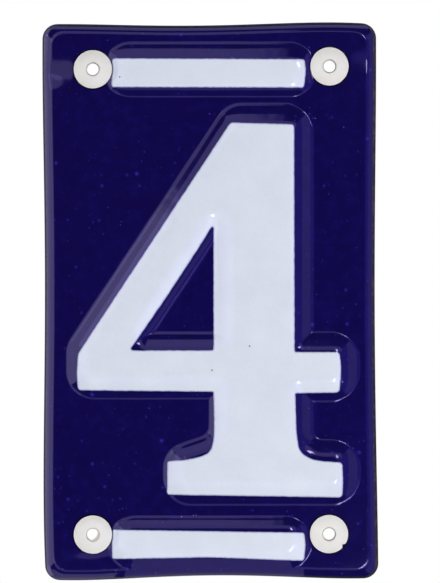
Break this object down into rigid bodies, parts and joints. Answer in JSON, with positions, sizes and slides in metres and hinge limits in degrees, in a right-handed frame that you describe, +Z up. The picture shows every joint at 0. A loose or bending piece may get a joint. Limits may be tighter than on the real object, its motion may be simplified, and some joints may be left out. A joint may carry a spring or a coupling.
{
  "type": "house number plaque",
  "caption": "Portrait wall plaque of pressed steel in blue enamel, with a raised white numeral between white bars, screwed to a wall through flanged nylon collars in its corners.",
  "frame": {"origin": "middle of the plaque, in the plane of the wall that its rim stands on", "axes": "+X to the viewer's right, +Y into the wall, so the front faces -Y, +Z up"},
  "size_m": [0.0749, 0.0038, 0.1248],
  "materials": {
    "blue_enamel": "gloss",
    "white_nylon": "satin"
  },
  "bodies": {
    "root": {"plate": "blue_enamel", "collar_top_left": "white_nylon", "collar_top_right": "white_nylon", "collar_bottom_left": "white_nylon", "collar_bottom_right": "white_nylon"}
  },
  "joints": []
}
